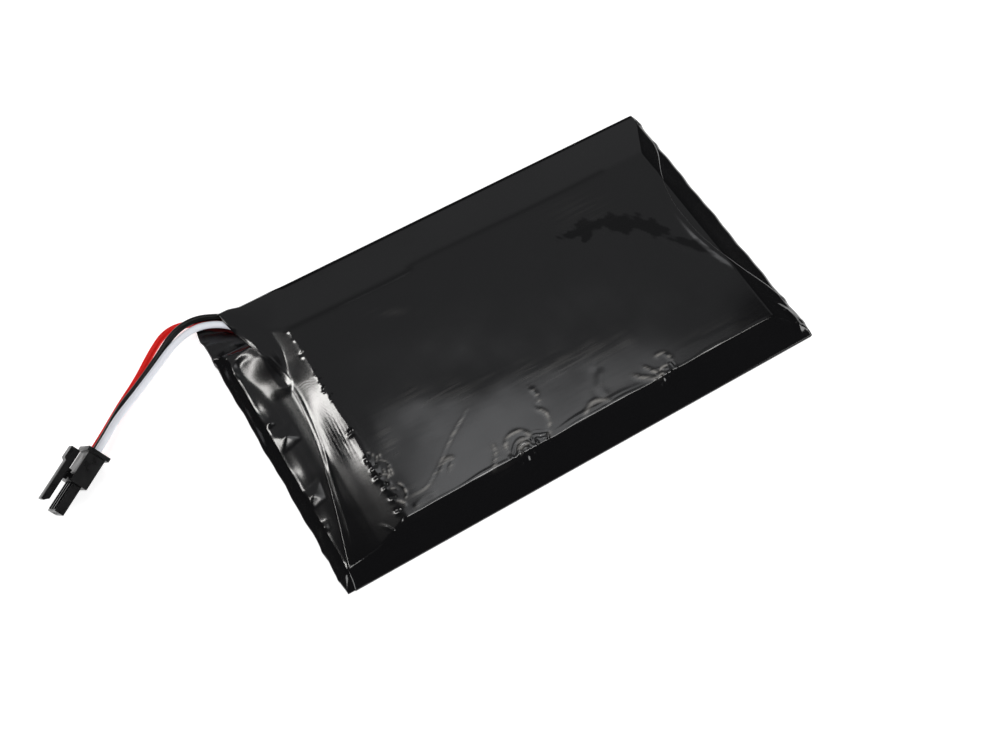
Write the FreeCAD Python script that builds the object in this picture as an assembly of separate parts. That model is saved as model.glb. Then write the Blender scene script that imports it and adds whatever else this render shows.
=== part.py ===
"""Flat lithium pouch battery pack with a three-way lead and plug.

Frame: origin at the centre of the pack's underside, +X along the pack away from the
lead, +Y across it, +Z up.  Millimetres.  The pack lies on its back on a flat surface,
and the lead runs out over the corner at -X, +Y to a plug that lies on the same surface.

A pouch cell is stuck to a stiff base plate.  The protection board sits on the plate
beside the cell's terrace.  A folded tape closes each end, and a black shrink sleeve
holds everything together.
"""
import FreeCAD
import Part
import math
import os

from FreeCAD import Vector

# ---- driving dimensions ------------------------------------------------------------
PACK_LENGTH = 120.0
PACK_WIDTH = 74.4
PACK_HEIGHT = 4.6
EDGE_HEIGHT = 1.05            # folded side edge of the sleeve

SLEEVE_FILM = 0.12            # shrink film
END_TAPE = 0.08               # folded tape inside each open end of the sleeve
PLATE_THICKNESS = 0.60
PLATE_CORNER_RADIUS = 1.0
PLATE_GAP = 0.05              # all round, between the plate and the folded tape
LEFT_TAPE_REACH = -38.0       # how far each end tape reaches in under the sleeve
RIGHT_TAPE_REACH = 45.0
LEFT_TAPE_FAR_SIDE = 24.4     # the left tape leaves the far corner open for the leads
ADHESIVE = 0.15
ADHESIVE_STRIP_WIDTH = 12.0
ADHESIVE_STRIPS_Y = (-26.0, 8.0)
ADHESIVE_LEFT = -39.0
ADHESIVE_RIGHT = 52.0

# where each open end of the sleeve is cut, as an arc through three points in plan
LEFT_CUT = ((-54.0, 38.0), (-48.9, 8.2), (-58.8, -38.0))
RIGHT_CUT = ((59.8, 23.0), (50.9, 1.0), (59.8, -20.0))
SLEEVE_RIGHT = 59.8
BEYOND_PACK = 62.0            # outside the pack at either end, for cutting tools

# the cell's raised top, as the sleeve shows it
CELL_LEFT = -42.0
CELL_RIGHT = 54.7
CELL_NEAR = -30.4
CELL_FAR = 24.6
CELL_CLEARANCE = 0.5          # from the sleeve's fold line to the cell's own side
LAMINATE = 0.11               # aluminium laminate of the pouch
TERRACE_DEPTH = 6.0           # sealed edge that the tabs come through
SIDE_SEAL_HEIGHT = 2.6        # side seals, folded up against the cell
POUCH_EDGE_RADIUS = 0.9

STACK_LEFT = -37.6
STACK_MARGIN = 1.2            # from the cathodes' edges to the pouch's sides
ANODE_OVERLAP = 0.25          # how far the anodes and separators stand out past the cathodes
SEPARATOR_OVERLAP = 0.5
STACK_TAPE_THICKNESS = 0.04
STACK_TAPE_WIDTH = 8.0
STACK_TAPES_X = (-30.0, 4.0, 38.0)
STACK_TAPE_INSET = 2.0
CATHODE_COUNT = 6
CATHODE_THICKNESS = 0.20
ANODE_THICKNESS = 0.18
SEPARATOR_THICKNESS = 0.04

TAB_WIDTH = 6.0
TAB_THICKNESS = 0.10
TAB_END = -49.8
TAB_ROOT = -38.2
SEALANT_WIDTH = 8.0
SEALANT_HEIGHT = 0.30
POSITIVE_TAB_Y = -17.0
NEGATIVE_TAB_Y = -1.0
STRIP_WIDTH = 4.0
STRIP_THICKNESS = 0.12
STRIP_ROOT = -48.0            # the strip's end on the tab, its bends and its end on the board
STRIP_FIRST_BEND = -50.0
STRIP_SECOND_BEND = -50.85
STRIP_END = -53.8
STRIP_BEND_SHIFT = 0.06

BOARD_LEFT = -58.0
BOARD_RIGHT = -51.0
BOARD_NEAR = -24.0
BOARD_FAR = 22.0
BOARD_THICKNESS = 0.60
BOARD_UNDERSIDE = 1.30
EAR_RIGHT = -44.4             # the ear carries the three lead pads
EAR_NEAR = 13.0
INSULATION_TAPE = 0.06
INSULATION_PLAN = (-58.8, -48.6, -27.0, 24.0)
FOAM_PLAN = (-57.4, -51.4, -23.0, 21.0)
PAPER_RIGHT = -42.6
PAPER_NEAR = 11.0
PAPER_FAR = 23.5

# parts on the board: centres in plan, and sizes
CHIP_HEIGHT = 0.75
CHIP_STAND_OFF = 0.1
LEG_REACH = 0.5
LEG_WIDTH = 0.3
LEG_HEIGHT = 0.25
PROTECTION_IC_PLACE = (-54.6, 8.4)
PROTECTION_IC_SIZE = (2.9, 1.6)
SWITCH_PLACES = ((-54.6, -9.0), (-54.6, 2.6))
SWITCH_SIZE = (3.1, 3.0)
SMALL_PART_LENGTH = 1.6
SMALL_PART_WIDTH = 0.8
RESISTOR_PLACES = ((-56.6, 8.4), (-52.6, 8.4), (-56.9, 13.2), (-54.9, 13.2))
RESISTOR_HEIGHT = 0.45
CAPACITOR_PLACES = ((-52.9, 13.2), (-56.9, 16.6))
CAPACITOR_HEIGHT = 0.8
THERMISTOR_PLACES = ((-54.6, 17.6),)
THERMISTOR_HEIGHT = 0.6

LEAD_DIAMETER = 1.6
STRAND_DIAMETER = 0.9
LEAD_PITCH = 2.0
LEAD_COLOURS = ("red", "black", "white")      # from the plug's lowest way to its highest
LEAD_PAD_X = {"white": -49.5, "red": -47.5, "black": -45.5}
LEAD_START_Y = 21.0           # where the insulation starts
PAD_Y = 18.9
LEAD_END_GAP = 0.1            # between the stripped strands and the insulation
LEAD_OVER_BOARD = 0.1
STRANDS_PAST_PAD = 1.0
CONE_FOOT = 1.15              # solder cone over each lead's strands
CONE_TIP = 0.6
CONE_HEIGHT = 1.2
BEAD_WIDTH = 0.7              # solder bead on the end of each nickel strip
BEAD_HALF_LENGTH = 1.6
BEAD_HEIGHT = 0.3

# plug, in its own frame: X from the rear flange to the nose, Y along the row of ways,
# Z from the housing's back to the latch
PLUG_YAW = 212.0
PLUG_PITCH = 6.0
PLUG_ROLL = 52.0
PLUG_X = -91.8
PLUG_Y = 17.7
FLANGE_LENGTH = 1.0
FLANGE_HALF_ROW = 4.1
FLANGE_BACK = -2.8
FLANGE_FRONT = 2.5
FLANGE_CORNER_RADIUS = 0.2
HOUSING_LENGTH = 8.3
HOUSING_HALF_ROW = 3.6
HOUSING_BACK = -2.15
HOUSING_FRONT = 1.9
NOSE_END = 15.2
NOSE_HALF_ROW = 3.1
NOSE_HALF_THICKNESS = 1.05
CHAMBER = 1.5                 # square chamber of each way
CHAMBER_START = 3.6
CHAMBER_END = 14.6
PIN_OPENING = 0.9
WIRE_ENTRY_DIAMETER = 1.7
LEAD_DEPTH = 3.4              # how far the insulation goes into the housing
RIB_WIDTH = 0.5
RIB_HEIGHT = 0.25
RIB_SHORT_OF_NOSE = 0.4
SUNK = 0.1                    # how deep one moulded shape starts inside another

CONTACT_HALF_WIDTH = 0.68
CONTACT_BORE_HALF = 0.42
SOCKET_START = 8.6
SOCKET_END = 14.5
CONTACT_REAR = 4.4
BARREL_START = 4.6
BARREL_END = 6.8
STRANDS_IN_BARREL = 3.9

LATCH_REAR = 1.6
LATCH_NOSE = 14.3
LATCH_HALF_WIDTH = 1.35
LATCH_UNDERSIDE = 2.95
LATCH_TOP = 4.5
LATCH_PAD_TOP = 5.1
LATCH_PAD_END = 4.4           # the pad's top ends here and slopes down to the arm
LATCH_ARM_START = 4.9
LATCH_NOSE_LIP = 0.6
LATCH_NOSE_SLOPE = 0.9
PIVOT_ALONG = 7.1
PIVOT_UP = 2.35
PIVOT_RADIUS = 0.55
PIVOT_CLEARANCE = 0.05
BOSS_HALF_LENGTH = 1.2
BOSS_UNDERSIDE = 2.25

# ---- derived levels ----------------------------------------------------------------
HALF_LENGTH = PACK_LENGTH / 2
HALF_WIDTH = PACK_WIDTH / 2
PLATE_BOTTOM = SLEEVE_FILM + END_TAPE
PLATE_TOP = PLATE_BOTTOM + PLATE_THICKNESS
POUCH_BOTTOM = PLATE_TOP + ADHESIVE
LID_TOP = POUCH_BOTTOM + LAMINATE
POUCH_TOP = PACK_HEIGHT - SLEEVE_FILM - END_TAPE
POUCH_LEFT = CELL_LEFT + CELL_CLEARANCE
POUCH_RIGHT = CELL_RIGHT - CELL_CLEARANCE
POUCH_NEAR = CELL_NEAR + CELL_CLEARANCE
POUCH_FAR = CELL_FAR - CELL_CLEARANCE
TERRACE_LEFT = POUCH_LEFT - TERRACE_DEPTH
TAB_BOTTOM = LID_TOP + (SEALANT_HEIGHT - TAB_THICKNESS) / 2
TAB_TOP = TAB_BOTTOM + TAB_THICKNESS
BOARD_TOP = BOARD_UNDERSIDE + BOARD_THICKNESS
LEAD_RADIUS = LEAD_DIAMETER / 2
STRAND_RADIUS = STRAND_DIAMETER / 2
LEAD_ON_BOARD = BOARD_TOP + LEAD_RADIUS + LEAD_OVER_BOARD


# ---- small helpers -----------------------------------------------------------------
def block(x0, x1, y0, y1, z0, z1):
    """Box between two corners."""
    return Part.makeBox(x1 - x0, y1 - y0, z1 - z0, Vector(x0, y0, z0))


def plate_block(x0, x1, y0, y1, z0, z1, radius):
    """Box with its four upright edges rounded."""
    body = block(x0, x1, y0, y1, z0, z1)
    upright = [e for e in body.Edges if abs(e.Vertexes[0].Z - e.Vertexes[1].Z) > 1e-6]
    return body.makeFillet(radius, upright)


def prism_along_y(outline, y0, y1):
    """Solid with an outline of (x, z) points, between two y values."""
    points = [Vector(x, y0, z) for x, z in outline]
    face = Part.Face(Part.makePolygon(points + points[:1]))
    return face.extrude(Vector(0, y1 - y0, 0))


def prism_along_x(outline, x0, x1):
    """Solid with an outline of (y, z) points, between two x values."""
    points = [Vector(x0, y, z) for y, z in outline]
    face = Part.Face(Part.makePolygon(points + points[:1]))
    return face.extrude(Vector(x1 - x0, 0, 0))


def group(solids):
    """Several separate solids in one shape."""
    return Part.makeCompound(list(solids))


# ---- the wrapped shape -------------------------------------------------------------
SHOULDER_LEFT = -46.0         # foot of the cell's left side, under the film
SHOULDER_HEIGHT = 3.95
BOARD_EDGE = -57.2            # where the film turns down over the board's outer edge
BOARD_EDGE_HEIGHT = 3.6
LEAD_HUMP_HEIGHT = 4.35       # film over the leads at the far corner
LEAD_HUMP_LEFT = -57.5
LEAD_HUMP_RIGHT = -43.0
LEAD_HUMP_CHAMFER = 1.2


def wrapped_shape(inset):
    """Everything inside a skin that lies the given depth under the sleeve's outside."""
    end = HALF_LENGTH + SLEEVE_FILM - inset
    side = HALF_WIDTH - inset
    top = PACK_HEIGHT - inset
    edge = EDGE_HEIGHT - inset
    lengthwise = prism_along_y(
        [(-end, inset), (end, inset), (end, edge), (CELL_RIGHT, top), (CELL_LEFT, top),
         (SHOULDER_LEFT, SHOULDER_HEIGHT - inset), (BOARD_EDGE, BOARD_EDGE_HEIGHT - inset),
         (-end, edge)],
        -HALF_WIDTH, HALF_WIDTH)
    crosswise = prism_along_x(
        [(-side, inset), (side, inset), (side, edge), (CELL_FAR, top), (CELL_NEAR, top),
         (-side, edge)],
        -HALF_LENGTH - 1, HALF_LENGTH + 1)
    hump_top = LEAD_HUMP_HEIGHT - inset
    hump = prism_along_x(
        [(CELL_FAR, inset), (side, inset), (side, hump_top - LEAD_HUMP_CHAMFER),
         (side - LEAD_HUMP_CHAMFER, hump_top),
         (CELL_FAR, hump_top)],
        LEAD_HUMP_LEFT + inset, LEAD_HUMP_RIGHT - inset)
    return lengthwise.common(crosswise).fuse(hump).removeSplitter()


def arc_cutter(start, middle, finish, outside_x):
    """Upright cutter between an arc in plan and a line beyond the pack's end."""
    below = -1.0
    points = [Vector(x, y, below) for x, y in (start, middle, finish)]
    corners = [Vector(outside_x, finish[1], below), Vector(outside_x, start[1], below)]
    edges = [Part.Arc(*points).toShape()]
    for a, b in ((points[2], corners[0]), (corners[0], corners[1]), (corners[1], points[0])):
        edges.append(Part.LineSegment(a, b).toShape())
    return Part.Face(Part.Wire(edges)).extrude(Vector(0, 0, PACK_HEIGHT + 2))


def outer_sleeve():
    """Black shrink sleeve; each open end has drawn back in an arc."""
    skin = wrapped_shape(0).cut(wrapped_shape(SLEEVE_FILM))
    left = arc_cutter(*LEFT_CUT, -BEYOND_PACK)
    right = arc_cutter(*RIGHT_CUT, BEYOND_PACK)
    trim = block(SLEEVE_RIGHT, HALF_LENGTH + 1, -HALF_WIDTH - 1, HALF_WIDTH + 1, -1, PACK_HEIGHT + 1)
    return skin.cut(left).cut(right).cut(trim).removeSplitter()


def end_tape(x0, x1, far_limit):
    """Tape folded round one end of the plate, under the sleeve."""
    skin = wrapped_shape(SLEEVE_FILM).cut(wrapped_shape(SLEEVE_FILM + END_TAPE))
    keep = block(x0, x1, -HALF_WIDTH - 1, far_limit, -1, PACK_HEIGHT + 1)
    return skin.common(keep)


def base_plate():
    x = HALF_LENGTH - END_TAPE - PLATE_GAP
    y = HALF_WIDTH - SLEEVE_FILM - END_TAPE - PLATE_GAP
    return plate_block(-x, x, -y, y, PLATE_BOTTOM, PLATE_TOP, PLATE_CORNER_RADIUS)


def cell_adhesive():
    """Two strips of double-sided tape under the cell."""
    strips = []
    for y in ADHESIVE_STRIPS_Y:
        strips.append(block(ADHESIVE_LEFT, ADHESIVE_RIGHT, y, y + ADHESIVE_STRIP_WIDTH, PLATE_TOP,
                            POUCH_BOTTOM))
    return group(strips)


# ---- pouch cell --------------------------------------------------------------------
def pouch_lid():
    """Flat laminate sheet under the cell, folded up outside each side seal."""
    y0 = POUCH_NEAR - LAMINATE
    y1 = POUCH_FAR + LAMINATE
    sheet = block(TERRACE_LEFT, POUCH_RIGHT, y0, y1, POUCH_BOTTOM, LID_TOP)
    top = POUCH_BOTTOM + SIDE_SEAL_HEIGHT
    near = block(POUCH_LEFT, POUCH_RIGHT, y0, POUCH_NEAR, LID_TOP, top)
    far = block(POUCH_LEFT, POUCH_RIGHT, POUCH_FAR, y1, LID_TOP, top)
    return sheet.fuse(near).fuse(far).removeSplitter()


def pouch_cup():
    """Drawn laminate cup with its terrace, bridged over both tabs."""
    outside = block(POUCH_LEFT, POUCH_RIGHT, POUCH_NEAR, POUCH_FAR, LID_TOP, POUCH_TOP)
    rim = [e for e in outside.Edges if e.BoundBox.ZMin > POUCH_TOP - 1e-6]
    outside = outside.makeFillet(POUCH_EDGE_RADIUS, rim)
    inside = block(POUCH_LEFT + LAMINATE, POUCH_RIGHT - LAMINATE, POUCH_NEAR + 2 * LAMINATE,
                   POUCH_FAR - 2 * LAMINATE, LID_TOP, POUCH_TOP - LAMINATE)
    rim = [e for e in inside.Edges if e.BoundBox.ZMin > POUCH_TOP - LAMINATE - 1e-6]
    inside = inside.makeFillet(POUCH_EDGE_RADIUS - LAMINATE, rim)
    terrace = block(TERRACE_LEFT, POUCH_LEFT, POUCH_NEAR, POUCH_FAR, LID_TOP, LID_TOP + LAMINATE)
    cup = outside.fuse(terrace)
    for y in (POSITIVE_TAB_Y, NEGATIVE_TAB_Y):
        half = SEALANT_WIDTH / 2
        roof = LID_TOP + SEALANT_HEIGHT
        cup = cup.fuse(block(TERRACE_LEFT, POUCH_LEFT, y - half - LAMINATE, y + half + LAMINATE,
                             LID_TOP, roof + LAMINATE))
        inside = inside.fuse(block(TERRACE_LEFT - 1, POUCH_LEFT + LAMINATE, y - half, y + half,
                                   LID_TOP, roof))
    return cup.cut(inside).removeSplitter()


def electrode_sheets():
    """Three groups of sheets, from the lid up: anode, separator, cathode, separator..."""
    anodes, separators, cathodes = [], [], []
    z = LID_TOP + SEPARATOR_THICKNESS

    def sheet(thickness, extra):
        return block(STACK_LEFT - extra, POUCH_RIGHT - STACK_MARGIN + extra,
                     POUCH_NEAR + STACK_MARGIN - extra, POUCH_FAR - STACK_MARGIN + extra,
                     z, z + thickness)

    for number in range(2 * CATHODE_COUNT + 1):
        if number % 2:
            cathodes.append(sheet(CATHODE_THICKNESS, 0.0))
            z += CATHODE_THICKNESS
        else:
            anodes.append(sheet(ANODE_THICKNESS, ANODE_OVERLAP))
            z += ANODE_THICKNESS
        if number < 2 * CATHODE_COUNT:
            separators.append(sheet(SEPARATOR_THICKNESS, SEPARATOR_OVERLAP))
            z += SEPARATOR_THICKNESS
    return group(anodes), group(separators), group(cathodes), z


def stack_tapes(stack_top):
    """Three bands of tape that hold the sheets together, on top of the stack."""
    bands = []
    for x in STACK_TAPES_X:
        bands.append(block(x, x + STACK_TAPE_WIDTH, POUCH_NEAR + STACK_TAPE_INSET,
                           POUCH_FAR - STACK_TAPE_INSET, stack_top,
                           stack_top + STACK_TAPE_THICKNESS))
    return group(bands)


def tab(y):
    half = TAB_WIDTH / 2
    return block(TAB_END, TAB_ROOT, y - half, y + half, TAB_BOTTOM, TAB_TOP)


def tab_sealant(y):
    """Sealing film round a tab, through the terrace."""
    half = SEALANT_WIDTH / 2
    film = block(TERRACE_LEFT, POUCH_LEFT, y - half, y + half, LID_TOP, LID_TOP + SEALANT_HEIGHT)
    return film.cut(tab(y))


def nickel_strip(y):
    """Strip welded on a tab and bent up on to the board."""
    tab_side = TAB_TOP + STRIP_THICKNESS
    board_side = BOARD_TOP + STRIP_THICKNESS
    outline = [(STRIP_ROOT, TAB_TOP), (STRIP_FIRST_BEND, TAB_TOP), (STRIP_SECOND_BEND, BOARD_TOP),
               (STRIP_END, BOARD_TOP), (STRIP_END, board_side),
               (STRIP_SECOND_BEND + STRIP_BEND_SHIFT, board_side),
               (STRIP_FIRST_BEND + STRIP_BEND_SHIFT, tab_side), (STRIP_ROOT, tab_side)]
    return prism_along_y(outline, y - STRIP_WIDTH / 2, y + STRIP_WIDTH / 2)


# ---- protection board --------------------------------------------------------------
def circuit_board():
    main = block(BOARD_LEFT, BOARD_RIGHT, BOARD_NEAR, BOARD_FAR, BOARD_UNDERSIDE, BOARD_TOP)
    ear = block(BOARD_RIGHT - 1, EAR_RIGHT, EAR_NEAR, BOARD_FAR, BOARD_UNDERSIDE, BOARD_TOP)
    return main.fuse(ear).removeSplitter()


def board_insulation_tape():
    return block(*INSULATION_PLAN, PLATE_TOP, PLATE_TOP + INSULATION_TAPE)


def board_foam_pad():
    return block(*FOAM_PLAN, PLATE_TOP + INSULATION_TAPE, BOARD_UNDERSIDE)


def terrace_insulator():
    """Paper under the board's ear."""
    bottom = LID_TOP + LAMINATE
    return block(TERRACE_LEFT, PAPER_RIGHT, PAPER_NEAR, PAPER_FAR, bottom, BOARD_UNDERSIDE)


def packaged_chip(place, size, legs):
    """Moulded chip with its long side along Y and legs along both long sides."""
    x, y = place
    length, width = size
    z = BOARD_TOP + CHIP_STAND_OFF
    body = block(x - width / 2, x + width / 2, y - length / 2, y + length / 2, z, z + CHIP_HEIGHT)
    for number in range(legs):
        leg_y = y - length / 2 + (number + 0.5) * length / legs
        reach = width / 2 + LEG_REACH
        foot = block(x - reach, x + reach, leg_y - LEG_WIDTH / 2, leg_y + LEG_WIDTH / 2,
                     BOARD_TOP, BOARD_TOP + LEG_HEIGHT)
        body = body.fuse(foot)
    return body.removeSplitter()


def protection_ic():
    return packaged_chip(PROTECTION_IC_PLACE, PROTECTION_IC_SIZE, 3)


def switch_transistors():
    return group(packaged_chip(place, SWITCH_SIZE, 4) for place in SWITCH_PLACES)


def chip_parts(places, height):
    """Small two-terminal parts, long side along Y."""
    across, along = SMALL_PART_WIDTH / 2, SMALL_PART_LENGTH / 2
    return group(block(x - across, x + across, y - along, y + along, BOARD_TOP, BOARD_TOP + height)
                 for x, y in places)


def lead_pad_x(way):
    """Centre of a lead's pad on the ear."""
    return LEAD_PAD_X[LEAD_COLOURS[way]]


def board_end_strands():
    """Stripped strands that reach from each lead to its pad."""
    rods = []
    for way in range(3):
        start = Vector(lead_pad_x(way), PAD_Y - STRANDS_PAST_PAD, BOARD_TOP + STRAND_RADIUS)
        length = LEAD_START_Y - LEAD_END_GAP - start.y
        rods.append(Part.makeCylinder(STRAND_RADIUS, length, start, Vector(0, 1, 0)))
    return group(rods)


def solder_joints():
    """A solder cone over each lead's strands, and a bead on the end of each nickel strip."""
    fillets = []
    for way in range(3):
        x = lead_pad_x(way)
        cone = Part.makeCone(CONE_FOOT, CONE_TIP, CONE_HEIGHT, Vector(x, PAD_Y, BOARD_TOP))
        room = block(x - STRAND_RADIUS, x + STRAND_RADIUS, PAD_Y - 2, PAD_Y + 2, BOARD_TOP - 1,
                     BOARD_TOP + STRAND_DIAMETER)
        fillets.append(cone.cut(room))
    for y in (POSITIVE_TAB_Y, NEGATIVE_TAB_Y):
        fillets.append(block(STRIP_END - BEAD_WIDTH, STRIP_END, y - BEAD_HALF_LENGTH,
                             y + BEAD_HALF_LENGTH, BOARD_TOP, BOARD_TOP + BEAD_HEIGHT))
    return group(fillets)


# ---- plug --------------------------------------------------------------------------
def plug_placement():
    """Plug's own frame laid on the surface: its lowest corner is at z = 0."""
    turn = FreeCAD.Rotation(PLUG_YAW, PLUG_PITCH, PLUG_ROLL)
    corners = [(FLANGE_LENGTH, -FLANGE_HALF_ROW, FLANGE_BACK),
               (HOUSING_LENGTH, -HOUSING_HALF_ROW, HOUSING_BACK),
               (NOSE_END, -NOSE_HALF_ROW, -NOSE_HALF_THICKNESS)]
    lowest = min(turn.multVec(Vector(*corner)).z for corner in corners)
    return FreeCAD.Placement(Vector(PLUG_X, PLUG_Y, -lowest), turn)


PLUG = plug_placement()


def laid(shape):
    """Move a shape from the plug's own frame to where the plug lies."""
    shape = shape.copy()
    shape.Placement = PLUG.multiply(shape.Placement)
    return shape


def plug_point(along, way):
    """A point on one way's axis, in the pack's frame."""
    return PLUG.multVec(Vector(along, (way - 1) * LEAD_PITCH, 0))


def connector_housing():
    """Stepped housing with a rear flange, a ribbed nose, three ways and the latch post."""
    body = block(0, HOUSING_LENGTH, -HOUSING_HALF_ROW, HOUSING_HALF_ROW, HOUSING_BACK, HOUSING_FRONT)
    flange = plate_block(0, FLANGE_LENGTH, -FLANGE_HALF_ROW, FLANGE_HALF_ROW, FLANGE_BACK,
                         FLANGE_FRONT, FLANGE_CORNER_RADIUS)
    nose = block(HOUSING_LENGTH - 1, NOSE_END, -NOSE_HALF_ROW, NOSE_HALF_ROW,
                 -NOSE_HALF_THICKNESS, NOSE_HALF_THICKNESS)
    shape = body.fuse(flange).fuse(nose)
    for way in range(3):
        y = (way - 1) * LEAD_PITCH
        rib = block(HOUSING_LENGTH - 1, NOSE_END - RIB_SHORT_OF_NOSE, y - RIB_WIDTH / 2,
                    y + RIB_WIDTH / 2, NOSE_HALF_THICKNESS - SUNK, NOSE_HALF_THICKNESS + RIB_HEIGHT)
        shape = shape.fuse(rib)
    post = block(PIVOT_ALONG - PIVOT_RADIUS, PIVOT_ALONG + PIVOT_RADIUS, -LATCH_HALF_WIDTH,
                 LATCH_HALF_WIDTH, HOUSING_FRONT - SUNK, PIVOT_UP)
    crown = Part.makeCylinder(PIVOT_RADIUS, 2 * LATCH_HALF_WIDTH,
                              Vector(PIVOT_ALONG, -LATCH_HALF_WIDTH, PIVOT_UP), Vector(0, 1, 0))
    shape = shape.fuse(post.fuse(crown))
    for way in range(3):
        y = (way - 1) * LEAD_PITCH
        half = CHAMBER / 2
        entry = Part.makeCylinder(WIRE_ENTRY_DIAMETER / 2, CHAMBER_START + 1, Vector(-1, y, 0),
                                  Vector(1, 0, 0))
        chamber = block(CHAMBER_START, CHAMBER_END, y - half, y + half, -half, half)
        half = PIN_OPENING / 2
        mouth = block(CHAMBER_END - 1, NOSE_END + 1, y - half, y + half, -half, half)
        shape = shape.cut(entry.fuse(chamber).fuse(mouth))
    return laid(shape.removeSplitter())


def latch_lever():
    """See-saw latch: pressing the rear pad lifts the nose off the mating header."""
    outline = [(LATCH_REAR, LATCH_UNDERSIDE), (LATCH_REAR, LATCH_PAD_TOP),
               (LATCH_PAD_END, LATCH_PAD_TOP), (LATCH_ARM_START, LATCH_TOP),
               (LATCH_NOSE, LATCH_TOP), (LATCH_NOSE, LATCH_TOP - LATCH_NOSE_LIP),
               (LATCH_NOSE - LATCH_NOSE_SLOPE, LATCH_UNDERSIDE),
               (PIVOT_ALONG + BOSS_HALF_LENGTH, LATCH_UNDERSIDE),
               (PIVOT_ALONG + BOSS_HALF_LENGTH, BOSS_UNDERSIDE),
               (PIVOT_ALONG - BOSS_HALF_LENGTH, BOSS_UNDERSIDE),
               (PIVOT_ALONG - BOSS_HALF_LENGTH, LATCH_UNDERSIDE)]
    arm = prism_along_y(outline, -LATCH_HALF_WIDTH, LATCH_HALF_WIDTH)
    radius = PIVOT_RADIUS + PIVOT_CLEARANCE
    slot = block(PIVOT_ALONG - radius, PIVOT_ALONG + radius, -2, 2, BOSS_UNDERSIDE - 1, PIVOT_UP)
    seat = Part.makeCylinder(radius, 4, Vector(PIVOT_ALONG, -2, PIVOT_UP), Vector(0, 1, 0))
    return laid(arm.cut(slot.fuse(seat)).removeSplitter())


def crimp_contact(way):
    """Box contact with a crimp barrel, inside its way."""
    y = (way - 1) * LEAD_PITCH
    half, hole = CONTACT_HALF_WIDTH, CONTACT_BORE_HALF
    socket = block(SOCKET_START, SOCKET_END, y - half, y + half, -half, half)
    bore = block(SOCKET_START - SUNK, SOCKET_END + SUNK, y - hole, y + hole, -hole, hole)
    strip = block(CONTACT_REAR, SOCKET_START + 2 * SUNK, y - half, y + half, -half, -STRAND_RADIUS)
    barrel = block(BARREL_START, BARREL_END, y - half, y + half, -half, half)
    core = Part.makeCylinder(STRAND_RADIUS, BARREL_END, Vector(0, y, 0), Vector(1, 0, 0))
    return laid(socket.cut(bore).fuse(strip).fuse(barrel.cut(core)).removeSplitter())


def crimp_end_strands():
    """Stripped strands in the crimp barrels."""
    rods = []
    for way in range(3):
        start = Vector(LEAD_DEPTH, (way - 1) * LEAD_PITCH, 0)
        rods.append(Part.makeCylinder(STRAND_RADIUS, STRANDS_IN_BARREL, start, Vector(1, 0, 0)))
    return group(laid(rod) for rod in rods)


# ---- leads -------------------------------------------------------------------------
# Each route is a list of points; the lead bends between its straight runs in arcs.
# It starts on the board's ear and ends in the plug.
LEAD_ROUTES = {
    "white": [(-49.5, LEAD_START_Y, LEAD_ON_BOARD), (-49.6, 26.0, 2.7), (-51.2, 30.6, 2.9),
              (-54.9, 34.1, 3.35), (-60.0, 36.0, 3.4), (-66.0, 34.6, 3.2), (-72.6, 30.5, 3.2),
              (-79.2, 26.4, 3.6), (-84.6, 22.5, 5.2)],
    "black": [(-45.5, LEAD_START_Y, LEAD_ON_BOARD), (-45.5, 26.6, 2.7), (-47.6, 32.3, 2.6),
              (-53.8, 35.8, 2.9), (-59.0, 38.1, 3.35), (-64.6, 37.5, 3.2), (-70.6, 33.6, 2.4),
              (-77.0, 29.6, 2.3), (-83.0, 25.9, 3.0)],
    "red": [(-47.5, LEAD_START_Y, LEAD_ON_BOARD), (-47.6, 26.4, 2.5), (-50.0, 31.2, 1.68),
            (-54.8, 35.0, 1.66), (-60.4, 38.8, 1.55), (-66.0, 39.9, 1.2), (-71.2, 36.5, 0.92),
            (-76.8, 31.6, 0.92), (-82.6, 27.6, 1.1)],
}
LEAD_APPROACH = 3.2           # straight length behind the plug
ARC_SHARE = 0.45              # how much of the shorter run an arc may take


def route_of(way):
    points = [Vector(*point) for point in LEAD_ROUTES[LEAD_COLOURS[way]]]
    return points + [plug_point(-LEAD_APPROACH, way), plug_point(LEAD_DEPTH, way)]


def bend_radius(before, corner, after):
    """Largest arc that both runs allow, and half the turn."""
    u = (corner - before).normalize()
    v = (after - corner).normalize()
    half_turn = u.getAngle(v) / 2
    shorter = min((corner - before).Length, (after - corner).Length)
    return ARC_SHARE * shorter / math.tan(half_turn), half_turn


def lead_tube(way):
    """Round lead along straight runs joined by tangent arcs."""
    route = route_of(way)
    edges, length = [], 0.0
    radii = []
    here = route[0]
    for before, corner, after in zip(route, route[1:], route[2:]):
        radius, half_turn = bend_radius(before, corner, after)
        reach = radius * math.tan(half_turn)
        u = (corner - before).normalize()
        v = (after - corner).normalize()
        start = corner - u * reach
        finish = corner + v * reach
        inward = (v - u).normalize()
        middle = corner + inward * (radius / math.cos(half_turn) - radius)
        edges.append(Part.LineSegment(here, start).toShape())
        edges.append(Part.Arc(start, middle, finish).toShape())
        length += (start - here).Length + 2 * half_turn * radius
        radii.append(radius)
        here = finish
    edges.append(Part.LineSegment(here, route[-1]).toShape())
    length += (route[-1] - here).Length
    section = Part.Wire(Part.Circle(route[0], route[1] - route[0], LEAD_RADIUS).toShape())
    tube = Part.Wire(edges).makePipeShell([section], True, False)
    expected = math.pi * LEAD_RADIUS ** 2 * length
    print(LEAD_COLOURS[way], "length %.1f" % length, "volume ratio %.4f" % (tube.Volume / expected),
          "radii", " ".join("%.1f" % radius for radius in radii))
    return tube


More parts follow.
